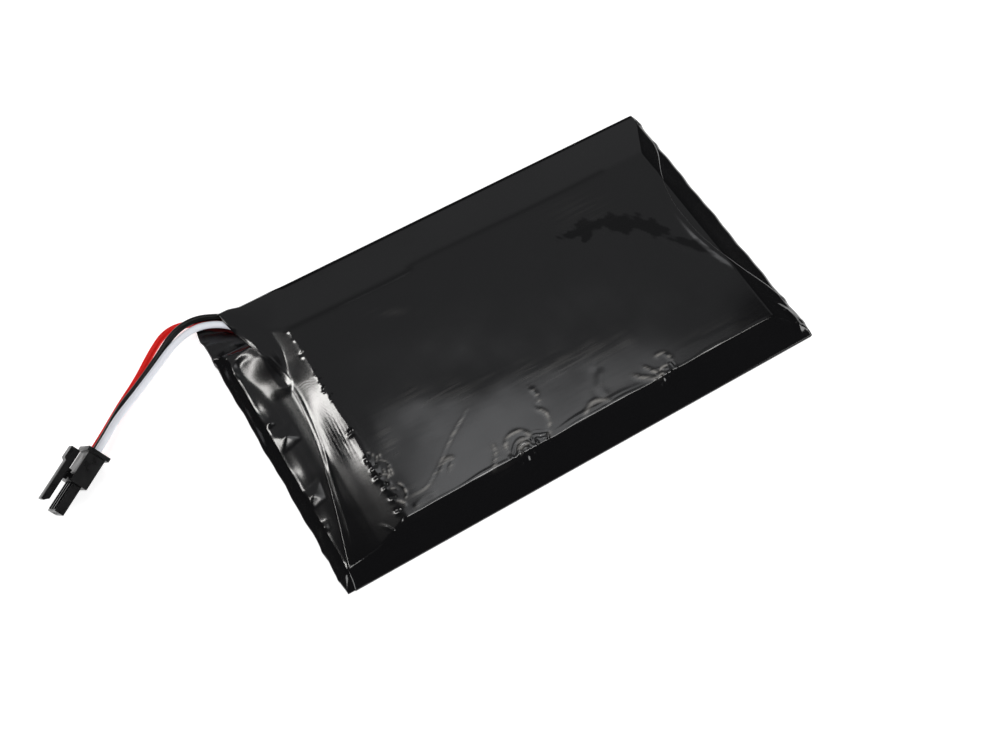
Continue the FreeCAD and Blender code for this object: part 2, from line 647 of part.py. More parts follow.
# ---- all nodes ---------------------------------------------------------------------
def build():
    anodes, separators, cathodes, stack_top = electrode_sheets()
    nodes = {
        "outer_sleeve": outer_sleeve(),
        "left_end_tape": end_tape(-BEYOND_PACK, LEFT_TAPE_REACH, LEFT_TAPE_FAR_SIDE),
        "right_end_tape": end_tape(RIGHT_TAPE_REACH, BEYOND_PACK, HALF_WIDTH + 1),
        "base_plate": base_plate(),
        "cell_adhesive": cell_adhesive(),
        "pouch_cup": pouch_cup(),
        "pouch_lid": pouch_lid(),
        "anode_sheets": anodes,
        "separator_sheets": separators,
        "cathode_sheets": cathodes,
        "stack_tapes": stack_tapes(stack_top),
        "circuit_board": circuit_board(),
        "board_insulation_tape": board_insulation_tape(),
        "board_foam_pad": board_foam_pad(),
        "terrace_insulator": terrace_insulator(),
        "protection_ic": protection_ic(),
        "switch_transistors": switch_transistors(),
        "resistors": chip_parts(RESISTOR_PLACES, RESISTOR_HEIGHT),
        "capacitors": chip_parts(CAPACITOR_PLACES, CAPACITOR_HEIGHT),
        "thermistor": chip_parts(THERMISTOR_PLACES, THERMISTOR_HEIGHT),
        "board_end_strands": board_end_strands(),
        "solder_joints": solder_joints(),
        "connector_housing": connector_housing(),
        "latch_lever": latch_lever(),
        "crimp_end_strands": crimp_end_strands(),
    }
    for name, y in (("positive", POSITIVE_TAB_Y), ("negative", NEGATIVE_TAB_Y)):
        nodes[name + "_tab"] = tab(y)
        nodes[name + "_tab_sealant"] = tab_sealant(y)
        nodes[name + "_nickel_strip"] = nickel_strip(y)
    for way, colour in enumerate(LEAD_COLOURS):
        nodes["lead_" + colour] = lead_tube(way)
        nodes["contact_" + colour] = crimp_contact(way)
    return nodes


os.makedirs("parts", exist_ok=True)
for node, shape in build().items():
    if not shape.isValid():
        print("INVALID", node)
    shape.exportStep("parts/%s.step" % node)
pivot = PLUG.multVec(Vector(PIVOT_ALONG, 0, PIVOT_UP))
row = PLUG.Rotation.multVec(Vector(0, 1, 0))
print("latch pivot", [round(v, 3) for v in pivot], "row axis", [round(v, 5) for v in row])
nose = PLUG.multVec(Vector(NOSE_END, 0, 0))
forward = PLUG.Rotation.multVec(Vector(1, 0, 0))
print("nose", [round(v, 3) for v in nose], "forward", [round(v, 5) for v in forward])
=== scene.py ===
import math

import bmesh
import bpy
import numpy as np
from mathutils import Matrix, Vector


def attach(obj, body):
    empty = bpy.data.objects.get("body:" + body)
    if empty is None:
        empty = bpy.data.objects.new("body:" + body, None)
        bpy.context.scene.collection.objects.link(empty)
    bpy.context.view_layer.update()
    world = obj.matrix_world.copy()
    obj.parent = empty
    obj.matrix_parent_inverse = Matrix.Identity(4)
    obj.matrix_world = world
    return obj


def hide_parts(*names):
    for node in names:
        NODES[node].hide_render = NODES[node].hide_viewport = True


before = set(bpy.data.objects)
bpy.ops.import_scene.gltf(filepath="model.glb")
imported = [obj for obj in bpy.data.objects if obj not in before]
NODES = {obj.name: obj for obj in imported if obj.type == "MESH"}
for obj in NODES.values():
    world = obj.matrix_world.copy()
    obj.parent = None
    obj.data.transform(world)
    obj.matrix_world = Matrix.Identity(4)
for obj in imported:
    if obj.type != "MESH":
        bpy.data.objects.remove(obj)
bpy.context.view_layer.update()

# Places and sizes on the pack are in millimetres. Those of the floor and the lights are in metres.
MM = 0.001

# The pack
HALF_LENGTH = 60.0
HALF_WIDTH = 37.2
CELL_TOP = 4.74
CELL_LEFT, CELL_RIGHT = -42.0, 54.7
CELL_NEAR, CELL_FAR = -30.4, 24.6
PLATE_TOP = 0.80
FILM = 0.12

# The camera
CAMERA_PLACE = (-84.5, -138.4, 276.7)
CAMERA_LOOK = (0.2517, 0.4160, -0.8738)
CAMERA_LENS = 50.35
SENSOR_WIDTH = 36.0
CLIP_NEAR, CLIP_FAR = 0.01, 50.0

# The floor and the lights
FLOOR_HALF = 25.0
FLOOR_DROP = 0.0001
FLOOR_GREY = 0.7
FLOOR_ROUGHNESS = 0.9
FLOOR_SHINE = 0.1
FLOOR_GLOW = 0.75
ROOM_COLOUR = (1.0, 1.0, 1.02)
ROOM_STRENGTH = 0.04
LIGHT_DISTANCE = 1.2
ALONG_X, ALONG_Y, ALONG_TURNED = (1, 0, 0), (0, 1, 0), (1.0, -0.30, 0.0)
COOL, WARM, WHITE = (0.97, 0.98, 1.0), (1.0, 0.985, 0.96), (1, 1, 1)
# name, which way it lies from the pack, width, height, brightness in a reflection, long axis, tint
LIGHTS = (
    ("overhead", (0.195, 0.14, 0.95), 0.28, 0.62, 1.36, ALONG_TURNED, COOL),
    ("overhead_soft", (0.215, 0.135, 0.95), 0.42, 0.66, 0.62, ALONG_TURNED, COOL),
    ("overhead_left", (0.155, 0.335, 0.93), 0.19, 0.14, 0.60, ALONG_TURNED, COOL),
    ("key_strip", (-0.30, 0.452, 0.862), 0.45, 0.052, 27.0, ALONG_X, WARM),
    ("near_strip", (0.24, 0.05, 0.96), 0.56, 0.11, 11.0, ALONG_X, WARM),
    ("far_wall", (0.25, 0.69, 0.68), 1.3, 0.94, 0.32, ALONG_X, COOL),
    ("left_side", (-0.84, -0.36, 0.42), 0.9, 0.5, 5.0, ALONG_Y, WHITE),
    ("right_side", (0.72, -0.55, 0.42), 0.9, 0.5, 5.5, ALONG_Y, WHITE),
)

# Where the sleeve's film ends, as x against y
LEFT_CUT = (
    (-37.2, -58.5), (-31.8, -57.3), (-27.3, -55.9), (-21.8, -54.3), (-14.7, -52.4),
    (-6.4, -50.3), (0.2, -49.3), (8.2, -48.5), (14.0, -49.0), (19.5, -50.0),
    (24.4, -51.5), (29.6, -53.2), (36.8, -54.6), (37.2, -54.7),
)
RIGHT_CUT = (
    (-37.2, 59.8), (-25.0, 59.7), (-20.5, 57.9), (-15.6, 55.4), (-10.1, 53.3),
    (-2.2, 51.8), (6.8, 51.7), (13.3, 53.0), (18.0, 55.3), (23.0, 58.5),
    (27.0, 59.7), (37.2, 59.8),
)

# How high the film lies along the pack and across it
ALONG = (
    (-60.1, 0.95), (-59.7, 1.15), (-58.5, 2.35), (-57.6, 2.98), (-54.0, 3.10),
    (-51.0, 3.29), (-49.0, 3.47), (-44.5, 4.28), (-42.3, 4.69), (-41.7, CELL_TOP),
    (53.6, CELL_TOP), (55.2, 4.02), (59.6, 1.80), (60.1, 0.90),
)
ACROSS = (
    (-37.3, 0.80), (-37.1, 0.92), (-36.8, 1.02), (-30.5, 4.45),
    (-29.9, CELL_TOP), (23.6, CELL_TOP), (24.7, 4.50), (30.0, 3.05),
    (36.4, 1.20), (37.0, 0.98), (37.3, 0.80),
)
PROFILE_SOFTNESS = 0.22
CUT_SOFTNESS = 1.6

LEADS = {
    "white": ((-49.5, 21.0, 2.8), (-49.6, 26.0, 2.7), (-51.2, 30.6, 2.9), (-54.9, 34.1, 3.35),
              (-60.0, 36.0, 3.4), (-66.0, 34.6, 3.2), (-72.6, 30.5, 3.2), (-79.2, 26.4, 3.6),
              (-84.6, 22.5, 5.2), (-88.588, 18.255, 6.934), (-94.155, 14.777, 6.244)),
    "black": ((-45.5, 21.0, 2.8), (-45.5, 26.6, 2.7), (-47.6, 32.3, 2.6), (-53.8, 35.8, 2.9),
              (-59.0, 38.1, 3.35), (-64.6, 37.5, 3.2), (-70.6, 33.6, 2.4), (-77.0, 29.6, 2.3),
              (-83.0, 25.9, 3.0), (-89.101, 19.386, 5.366), (-94.668, 15.908, 4.677)),
    "red": ((-47.5, 21.0, 2.8), (-47.6, 26.4, 2.5), (-50.0, 31.2, 1.68), (-54.8, 35.0, 1.66),
            (-60.4, 38.8, 1.55), (-66.0, 39.9, 1.2), (-71.2, 36.5, 0.92), (-76.8, 31.6, 0.92),
            (-82.6, 27.6, 1.1), (-89.614, 20.518, 3.799), (-95.181, 17.040, 3.109)),
}
LEAD_DIAMETER = 1.6

# Paint. Scales are in bumps per metre.
PLASTIC_IOR = 1.5
FILM_COLOUR = (0.0042, 0.0042, 0.0047)
# The lighter colour of rubbed film, also used for the painted highlight lines on its folds and wisps
SCUFF_AND_HIGHLIGHT_COLOUR = (0.25, 0.24, 0.225)
FILM_SHINE = 0.5
RUB_ROUGHNESS = 0.22      # how much rougher the film is where it is rubbed and along its painted highlight lines
CLING_LOSS = 0.36         # how much shine it loses where it clings
CLOUD_SCALE, SCRATCH_SCALE, WAVE_SCALE = 60, 1100, 300
SLEEVE_ROUGHNESS = (0.085, 0.135)
END_FILM_ROUGHNESS = (0.10, 0.16)


# ---------------------------------------------------------------- camera, floor and light

def aim(obj, direction):
    obj.rotation_mode = "QUATERNION"
    obj.rotation_quaternion = Vector(direction).to_track_quat("-Z", "Y")


def make_camera():
    data = bpy.data.cameras.new("camera")
    data.lens = CAMERA_LENS
    data.sensor_width = SENSOR_WIDTH
    data.clip_start, data.clip_end = CLIP_NEAR, CLIP_FAR
    camera = bpy.data.objects.new("camera", data)
    camera.location = Vector(CAMERA_PLACE) * MM
    aim(camera, CAMERA_LOOK)
    bpy.context.scene.collection.objects.link(camera)
    bpy.context.scene.camera = camera


def make_floor():
    corners = [(x * FLOOR_HALF, y * FLOOR_HALF, 0) for x, y in ((-1, -1), (1, -1), (1, 1), (-1, 1))]
    mesh = bpy.data.meshes.new("floor")
    mesh.from_pydata(corners, [], [(0, 1, 2, 3)])
    floor = bpy.data.objects.new("floor", mesh)
    floor.location.z = -FLOOR_DROP
    bpy.context.scene.collection.objects.link(floor)
    paint = bpy.data.materials.new("floor_white")
    paint.use_nodes = True
    shader = paint.node_tree.nodes["Principled BSDF"]
    shader.inputs["Base Color"].default_value = (FLOOR_GREY, FLOOR_GREY, FLOOR_GREY, 1)
    shader.inputs["Roughness"].default_value = FLOOR_ROUGHNESS
    shader.inputs["Specular IOR Level"].default_value = FLOOR_SHINE
    shader.inputs["Emission Color"].default_value = (*WHITE, 1)
    shader.inputs["Emission Strength"].default_value = FLOOR_GLOW
    mesh.materials.append(paint)


def make_light(name, toward, width, height, brightness, long_axis, tint):
    """A flat light that lies that way from the pack and faces it."""
    data = bpy.data.lights.new(name, "AREA")
    data.shape = "RECTANGLE"
    data.size, data.size_y = width, height
    data.energy = brightness * math.pi * width * height
    data.color = tint
    light = bpy.data.objects.new(name, data)
    back = Vector(toward).normalized()
    side = Vector(long_axis)
    side = (side - side.dot(back) * back).normalized()
    turn = Matrix((side, back.cross(side), back)).transposed()
    light.matrix_world = Matrix.Translation(back * LIGHT_DISTANCE) @ turn.to_4x4()
    bpy.context.scene.collection.objects.link(light)


def make_room():
    for light in LIGHTS:
        make_light(*light)
    world = bpy.data.worlds.new("room")
    bpy.context.scene.world = world
    world.use_nodes = True
    back = world.node_tree.nodes["Background"]
    back.inputs["Color"].default_value = (*ROOM_COLOUR, 1)
    back.inputs["Strength"].default_value = ROOM_STRENGTH


# ---------------------------------------------------------------- paints

def new_paint(name, colour, roughness, metallic=0.0):
    paint = bpy.data.materials.new(name)
    paint.use_nodes = True
    shader = paint.node_tree.nodes["Principled BSDF"]
    shader.inputs["Base Color"].default_value = (*colour, 1)
    shader.inputs["Roughness"].default_value = roughness
    shader.inputs["Metallic"].default_value = metallic
    shader.inputs["IOR"].default_value = PLASTIC_IOR
    return paint


def stretched_noise(paint, scale, stretch, turn, detail, at):
    """A noise fixed to the piece, drawn out along one direction."""
    tree = paint.node_tree
    place = tree.nodes.new("ShaderNodeTexCoord")
    lay = tree.nodes.new("ShaderNodeMapping")
    noise = tree.nodes.new("ShaderNodeTexNoise")
    lay.inputs["Location"].default_value = at
    lay.inputs["Rotation"].default_value = (0, 0, turn)
    lay.inputs["Scale"].default_value = stretch
    noise.inputs["Scale"].default_value = scale
    noise.inputs["Detail"].default_value = detail
    tree.links.new(place.outputs["Object"], lay.inputs["Vector"])
    tree.links.new(lay.outputs["Vector"], noise.inputs["Vector"])
    return noise.outputs["Fac"]


def spread(paint, value, low, high, from_low=0.3, from_high=0.7):
    """value, which runs about from_low to from_high, as low to high."""
    fit = paint.node_tree.nodes.new("ShaderNodeMapRange")
    fit.inputs["From Min"].default_value = from_low
    fit.inputs["From Max"].default_value = from_high
    fit.inputs["To Min"].default_value = low
    fit.inputs["To Max"].default_value = high
    paint.node_tree.links.new(value, fit.inputs["Value"])
    return fit.outputs["Result"]


def vary_roughness(paint, value, low, high):
    shader = paint.node_tree.nodes["Principled BSDF"]
    paint.node_tree.links.new(spread(paint, value, low, high), shader.inputs["Roughness"])


def vary_colour(paint, value, dark, light):
    tree = paint.node_tree
    mix = tree.nodes.new("ShaderNodeMix")
    mix.data_type = "RGBA"
    mix.inputs[6].default_value = (*dark, 1)
    mix.inputs[7].default_value = (*light, 1)
    tree.links.new(spread(paint, value, 0, 1), mix.inputs[0])
    tree.links.new(mix.outputs[2], tree.nodes["Principled BSDF"].inputs["Base Color"])


def roughen(paint, value, depth, strength, after=None):
    tree = paint.node_tree
    bump = tree.nodes.new("ShaderNodeBump")
    bump.inputs["Distance"].default_value = depth
    bump.inputs["Strength"].default_value = strength
    tree.links.new(value, bump.inputs["Height"])
    if after is not None:
        tree.links.new(after, bump.inputs["Normal"])
    shader = tree.nodes["Principled BSDF"]
    tree.links.new(bump.outputs["Normal"], shader.inputs["Normal"])
    return bump.outputs["Normal"]


def point_value(paint, name):
    """A value that the mesh holds at each of its points."""
    node = paint.node_tree.nodes.new("ShaderNodeAttribute")
    node.attribute_name = name
    return node.outputs["Fac"]


def combine(paint, how, a, b):
    """Two values, or one and a number, put together in that way."""
    node = paint.node_tree.nodes.new("ShaderNodeMath")
    node.operation = how
    for socket, value in zip(node.inputs, (a, b)):
        if isinstance(value, float):
            socket.default_value = value
        else:
            paint.node_tree.links.new(value, socket)
    return node.outputs["Value"]


def film_paint(name, roughness):
    """Black glossy film. Its points hold two values: one for scuffs, where fine drawn-out scratches scatter
    light and thin painted highlight lines lie on the folds, and dull, where it shines less."""
    paint = new_paint(name, FILM_COLOUR, roughness[1])
    shader = paint.node_tree.nodes["Principled BSDF"]
    link = paint.node_tree.links.new
    cloud = stretched_noise(paint, CLOUD_SCALE, (1, 1, 1), 0.0, 4, (0.3, 0.1, 0))
    drawn = stretched_noise(paint, SCRATCH_SCALE, (0.07, 1.0, 1.0), 0.30, 4, (0, 0, 0))
    scratches = spread(paint, drawn, 0.0, 1.0, 0.42, 0.62)
    scuff = combine(paint, "MULTIPLY", point_value(paint, "scuff"), scratches)
    rubbed = combine(paint, "MULTIPLY", scuff, RUB_ROUGHNESS)
    link(combine(paint, "ADD", spread(paint, cloud, *roughness), rubbed), shader.inputs["Roughness"])
    # Base colour: black film, lighter where it is scuffed, with painted highlight lines in the same lighter
    # colour on the folds, wisps, crease and round the pinches
    mix = paint.node_tree.nodes.new("ShaderNodeMix")
    mix.data_type = "RGBA"
    mix.inputs[6].default_value = (*FILM_COLOUR, 1)
    mix.inputs[7].default_value = (*SCUFF_AND_HIGHLIGHT_COLOUR, 1)
    link(scuff, mix.inputs[0])
    link(mix.outputs[2], shader.inputs["Base Color"])
    lost = combine(paint, "MULTIPLY", point_value(paint, "dull"), CLING_LOSS)
    link(combine(paint, "SUBTRACT", FILM_SHINE, lost), shader.inputs["Specular IOR Level"])
    first = roughen(paint, drawn, 0.000012, 0.12)
    waves = stretched_noise(paint, WAVE_SCALE, (0.5, 1.0, 1.0), 0.2, 3, (0.2, 0.7, 0.1))
    roughen(paint, waves, 0.00003, 0.14, first)
    return paint


def plain_paint(name, colour, roughness, metallic=0.0, grain=1500, depth=0.00001, contrast=0.12,
                shine=0.5):
    """A paint with a little unevenness in its colour, gloss and surface."""
    paint = new_paint(name, colour, roughness, metallic)
    paint.node_tree.nodes["Principled BSDF"].inputs["Specular IOR Level"].default_value = shine
    cloud = stretched_noise(paint, grain / 6, (1, 1, 1), 0.0, 4, (0.1, 0.4, 0.2))
    dark = tuple(c * (1 - contrast) for c in colour)
    light = tuple(min(1.0, c * (1 + contrast)) for c in colour)
    vary_colour(paint, cloud, dark, light)
    vary_roughness(paint, cloud, max(0.05, roughness - 0.07), min(1.0, roughness + 0.09))
    fine = stretched_noise(paint, grain, (1, 1, 1), 0.0, 3, (0.5, 0.2, 0.9))
    roughen(paint, fine, depth, 0.35)
    return paint


# ---------------------------------------------------------------- the film's relief

def smooth_table(points, softness, step=0.05):
    """A polyline given as (place, value) with its corners rounded."""
    places = np.arange(points[0][0] - 3, points[-1][0] + 3, step)
    values = np.interp(places, [p[0] for p in points], [p[1] for p in points])
    reach = int(3 * softness / step)
    kernel = np.exp(-0.5 * (np.arange(-reach, reach + 1) * step / softness) ** 2)
    padded = np.pad(values, reach, mode="edge")
    return places, np.convolve(padded, kernel / kernel.sum(), mode="valid")


def read_table(table, where):
    return np.interp(where, table[0], table[1])


def read_points(points, where):
    """The value at a place between points given as (place, value)."""
    return np.interp(where, [p[0] for p in points], [p[1] for p in points])


ALONG_TABLE = smooth_table(ALONG, PROFILE_SOFTNESS)
ACROSS_TABLE = smooth_table(ACROSS, PROFILE_SOFTNESS)
LEFT_CUT_TABLE = smooth_table(LEFT_CUT, CUT_SOFTNESS)
RIGHT_CUT_TABLE = smooth_table(RIGHT_CUT, CUT_SOFTNESS)


def step_up(value, start, end):
    t = np.clip((value - start) / (end - start), 0, 1)
    return t * t * (3 - 2 * t)


def bell(distance, width):
    return np.exp(-(distance / width) ** 2)


def lower_of(a, b, softness):
    """The lower of two heights, with the valley or ridge between them rounded."""
    h = np.clip(0.5 + 0.5 * (b - a) / softness, 0, 1)
    return b * (1 - h) + a * h - softness * h * (1 - h)


def curved(points, parts=6):
    """Points along a smooth curve through the given ones."""
    ends = [points[0], *points, points[-1]]
    out = []
    for a, b, c, d in zip(ends, ends[1:], ends[2:], ends[3:]):
        for i in range(parts):
            t = i / parts
            out.append(tuple(
                0.5 * (2 * b[k] + (c[k] - a[k]) * t + (2 * a[k] - 5 * b[k] + 4 * c[k] - d[k]) * t * t
                       + (3 * b[k] - a[k] - 3 * c[k] + d[k]) * t ** 3) for k in (0, 1)))
    return [*out, points[-1]]


def from_line(x, y, points):
    """Distance to a polyline, the signed side, and how far along it the nearest point is, from 0 to 1."""
    best = np.full(x.shape, 1e9)
    side = np.zeros(x.shape)
    along = np.zeros(x.shape)
    lengths = [math.dist(a, b) for a, b in zip(points, points[1:])]
    total, done = sum(lengths), 0.0
    for (ax, ay), (bx, by), size in zip(points, points[1:], lengths):
        ux, uy = (bx - ax) / size, (by - ay) / size
        t = np.clip((x - ax) * ux + (y - ay) * uy, 0, size)
        dx, dy = x - ax - t * ux, y - ay - t * uy
        d = np.hypot(dx, dy)
        near = d < best
        best = np.where(near, d, best)
        side = np.where(near, np.sign(ux * dy - uy * dx), side)
        along = np.where(near, (done + t) / total, along)
        done += size
    return best, side, along


def close_to(x, y, points, reach):
    """Which places lie in the box round those points, with that much added."""
    xs, ys = [p[0] for p in points], [p[1] for p in points]
    return (x > min(xs) - reach) & (x < max(xs) + reach) & (y > min(ys) - reach) & (y < max(ys) + reach)


def arc(centre, radius, start, end):
    """Three points along part of a circle. Angles are in radians."""
    angles = (start, (start + end) / 2, end)
    return [(centre[0] + radius * math.cos(a), centre[1] + radius * math.sin(a)) for a in angles]


def ridge(x, y, points, width, height):
    """A fold of film along a line, fading at its ends."""
    z = np.zeros(x.shape)
    near = close_to(x, y, points, 3.5 * width)
    if near.any():
        d, _, t = from_line(x[near], y[near], curved(points))
        z[near] = height * bell(d, width) * np.minimum(1, 6 * np.minimum(t, 1 - t) + 0.15)
    return z


def lap(x, y, points, width, height):
    """The film steps up on one side of a line and sinks back to its height."""
    z = np.zeros(x.shape)
    near = close_to(x, y, points, 3.5 * width)
    if near.any():
        d, side, t = from_line(x[near], y[near], curved(points))
        fade = np.minimum(1, 6 * np.minimum(t, 1 - t) + 0.1)
        z[near] = height * fade * side * (d / width) * bell(d, width) * 1.6
    return z


def spot(x, y, centre, radius, height, stretch=1.0, turn=0.0):
    """A round or oval bump, or a pit where height is negative."""
    dx, dy = x - centre[0], y - centre[1]
    c, s = math.cos(turn), math.sin(turn)
    a, b = (dx * c + dy * s) / stretch, -dx * s + dy * c
    return height * bell(np.hypot(a, b), radius)


def rings(x, y, centre, inner, outer, pitch, height, facing):
    """Fine wrinkles running round a pinched point, on the side that faces that way."""
    dx, dy = x - centre[0], y - centre[1]
    r = np.hypot(dx, dy) + 1e-6
    toward = (dx * facing[0] + dy * facing[1]) / r
    window = step_up(r, inner * 0.6, inner * 1.2) * (1 - step_up(r, inner, outer))
    wobble = 0.35 * np.sin(3.1 * np.arctan2(dy, dx) + centre[0])
    return height * np.cos(2 * math.pi * (r + wobble) / pitch) * window * step_up(toward, -0.1, 0.6)


def rolling(x, y, seed, pitch, height, count=7):
    """Gentle unevenness of about that pitch."""
    rng = np.random.default_rng(seed)
    total = np.zeros(x.shape)
    for _ in range(count):
        angle = rng.uniform(0, math.pi)
        k = 2 * math.pi / (pitch * rng.uniform(0.7, 1.6))
        total += np.sin(k * (x * math.cos(angle) + y * math.sin(angle)) + rng.uniform(0, 6.28))
    return height * total / math.sqrt(count)


# Crimps along the cell's left edge, as y
EDGE_CRIMPS = (24.2, 21.4, 16.6, 10.9, 8.6, 6.2, 3.5, -6.1, -13.5, -16.0, -18.4, -21.2, -24.3, -27.4)
RINGED_CRIMPS = (-13.5, -18.4, -21.2, -24.3, -27.4)
WISPS_AT_A_CRIMP = 4


def wisps_round_crimps():
    """Short curved wrinkles on the cell's side of its nearer crimps."""
    rng = np.random.default_rng(12)
    out = []
    for place in RINGED_CRIMPS:
        for _ in range(WISPS_AT_A_CRIMP):
            start = rng.uniform(-1.2, 0.5)
            centre = (CELL_LEFT - 0.2, place + rng.uniform(-0.5, 0.5))
            radius = rng.uniform(0.8, 3.4)
            out.append(arc(centre, radius, start, start + rng.uniform(0.5, 1.2)))
    return out


WISPS = wisps_round_crimps()


def crimp_size(place):
    """Crimps are small beside the bright part of the ramp, and largest on the near half."""
    if place < 0:
        return 1.0
    return 0.45 if place < 12 else 0.65


def crimp_detail(x, y):
    """Nicks in the cell's left edge, with a small lump by each, and the wisps beside them."""
    z = np.zeros(x.shape)
    rng = np.random.default_rng(7)
    for i, place in enumerate(EDGE_CRIMPS):
        edge = CELL_LEFT - 0.15 + 0.30 * math.sin(2.3 * i)
        size = rng.uniform(0.75, 1.2) * crimp_size(place)
        lean = rng.uniform(-0.5, 0.5)
        nick = ((edge - 1.1 * size, place - lean), (edge - 0.2, place), (edge + 0.5, place + lean))
        z += ridge(x, y, nick, 0.38, -0.08 * size)
        lump = (edge - 0.55, place - 0.75)
        z += spot(x, y, lump, 0.62 * size, 0.070 * size, 1.3, rng.uniform(0, 3))
    for wisp in WISPS:
        z += ridge(x, y, wisp, 0.26, 0.010)
    return z


def waves(places, pitch):
    return np.sin(2 * math.pi * places / pitch)


def ramp_wrinkles(x, y):
    """Fine wrinkles above the bright part of the ramp, and streaks that fray its near end."""
    above = bell(x + 44.8, 2.4) * bell(y - 13.2, 3.0)
    z = 0.0045 * above * waves(y + 0.22 * x + 0.25 * np.sin(1.7 * x), 0.72)
    near_end = bell(x + 45.4, 2.8) * bell(y + 5.5, 4.2)
    z += 0.018 * near_end * (waves(x + 0.10 * y, 1.3) + 0.6 * waves(x - 0.06 * y, 0.74))
    bright = bell(x + 45.4, 2.8) * bell(y - 2.0, 8.0)
    return z + 0.0020 * bright * waves(x + 0.35 * y, 0.55)


def ramp_shape(x, y):
    """How the film between the cut and the cell bows, which puts its light where it is."""
    hollow = -0.160 * bell(x + 45.5, 1.8) * bell(y + 9.0, np.where(y > -9.0, 6.5, 15.0))
    welt = 0.090 * bell(x + 42.7, 0.8) * bell(y + 15.5, 5.5)
    far_sag = -0.10 * bell(x + 46.2, 3.4) * step_up(y, 10.0, 17.0)
    return hollow + welt + far_sag + rolling(x, y, 31, 9.0, 0.006) * bell(x + 46.0, 4.0)


# The middle of the bundle of leads under the film at the far left
LEAD_FAN = ((-49.0, 13.0), (-49.1, 17.5), (-49.0, 21.0), (-49.2, 26.5), (-50.6, 31.4), (-54.3, 34.9))


def lead_cover(x, y):
    """The height the film needs over the leads and their pads."""
    d, _, _ = from_line(x, y, curved(LEAD_FAN))
    over_pads = 3.30 + 0.62 * step_up(y, 12.5, 21.5)
    at_exit = 0.32 * step_up(-x, 50.5, 54.4)
    fall = 0.13 + 0.04 * (1 - step_up(y, 22.0, 27.0))
    z = over_pads + at_exit - fall * np.maximum(0, d - 1.5) ** 1.3
    edge = 1.05 + 1.2 * step_up(-x, 48.5, 52.0)
    return lower_of(z, edge + 1.54 * (HALF_WIDTH - y), 0.5)


# A crease by the cell's near left corner, and a rubbed band across its middle
CREASE = ((-38.8, -26.3), (-35.0, -26.2), (-30.5, -23.5), (-26.8, -20.6), (-23.6, -18.2), (-18.1, -14.7))
RUBBED_BAND = (
    (-35.0, -4.0), (-32.1, -4.8), (-25.5, -6.8), (-16.0, -10.2), (-5.3, -12.6), (5.3, -15.7), (19.7, -18.1),
)
# Folds of the film over the cell, and its steps, each as points, width and height
CELL_FOLDS = (
    (RUBBED_BAND, 3.2, 0.020),
    (((-25.8, 18.4), (-21.0, 16.2), (-15.6, 13.2)), 0.8, 0.012),
)
CELL_STEPS = (
    (CREASE, 0.35, 0.010),
    (((-41.0, 23.4), (-13.0, 22.9), (-8.5, 24.3), (22.4, 23.5), (42.4, 23.4)), 0.8, 0.035),
    (((22.2, 19.8), (26.5, 13.6), (34.5, 13.2), (41.6, 6.4), (45.2, -3.3), (51.0, -11.0)), 1.9, 0.030),
    (((12.0, -20.5), (9.0, -25.0), (9.5, -29.0)), 1.2, 0.035),
)
# Its unevenness, as seed, pitch and height
CELL_WAVES = ((5, 26.0, 0.026), (41, 12.0, 0.008), (11, 7.0, 0.0030))


def cell_mask(x, y):
    """1 on the flat of the cell, falling to 0 at its edges."""
    return (step_up(x, CELL_LEFT - 1, CELL_LEFT + 5) * (1 - step_up(x, CELL_RIGHT - 5, CELL_RIGHT))
            * step_up(y, CELL_NEAR, CELL_NEAR + 4) * (1 - step_up(y, CELL_FAR - 4, CELL_FAR)))


def cell_detail(x, y):
    z = sum(lap(x, y, *one) for one in CELL_STEPS) + sum(ridge(x, y, *one) for one in CELL_FOLDS)
    return z + cell_mask(x, y) * sum(rolling(x, y, *one) for one in CELL_WAVES)


# A thin painted highlight line along points, fading at its ends
def painted_highlight_line(x, y, points, width, strength):
    near = close_to(x, y, points, 3.5 * width)
    value = np.zeros(x.shape)
    if near.any():
        d, _, t = from_line(x[near], y[near], curved(points))
        value[near] = strength * bell(d, width) * np.minimum(1, 5 * np.minimum(t, 1 - t) + 0.1)
    return value


# Rubbed patches, as (x, y), radius, strength, how long and its turn
RUBBED_PATCHES = (
    ((-36.6, -13.0), 2.0, 0.16, 2.4, 1.45), ((0.5, -16.5), 3.0, 0.07, 2.0, -0.3),
    ((-20.5, 15.8), 1.0, 0.08, 5.0, -0.5), ((-17.5, -27.0), 2.4, 0.10, 1.4, 0.8),
    ((9.5, -25.5), 3.0, 0.07, 2.6, -0.2), ((-37.0, -26.5), 2.6, 0.12, 1.8, 0.0),
    ((39.0, -26.5), 2.2, 0.06, 4.0, -0.15), ((32.0, 17.0), 4.0, 0.035, 1.6, -0.3),
)
PINCH_HIGHLIGHT_ARCS = (1.4, 2.3, 3.3)      # radii of the painted highlight arcs round a pinch


def painted_highlight_lines(x, y):
    """Thin painted highlight lines on the crease, the folds and the wisps, and round the pinches."""
    lines = painted_highlight_line(x, y, CREASE, 0.36, 0.60)
    for fold in RIM_FOLDS:
        lines = np.maximum(lines, painted_highlight_line(x, y, fold, 0.45, 0.80))
    for wisp in WISPS:
        lines = np.maximum(lines, painted_highlight_line(x, y, wisp, 0.22, 0.9))
    for (px, py), size in zip(PINCHES, PINCH_HIGHLIGHT_SIZES):
        for radius in PINCH_HIGHLIGHT_ARCS:
            wisp = arc((px + 0.9 * radius - 1.5, py), radius * size, 0.6 + 0.15 * radius, 2.7)
            lines = np.maximum(lines, painted_highlight_line(x, y, wisp, 0.28, 0.95))
    return lines


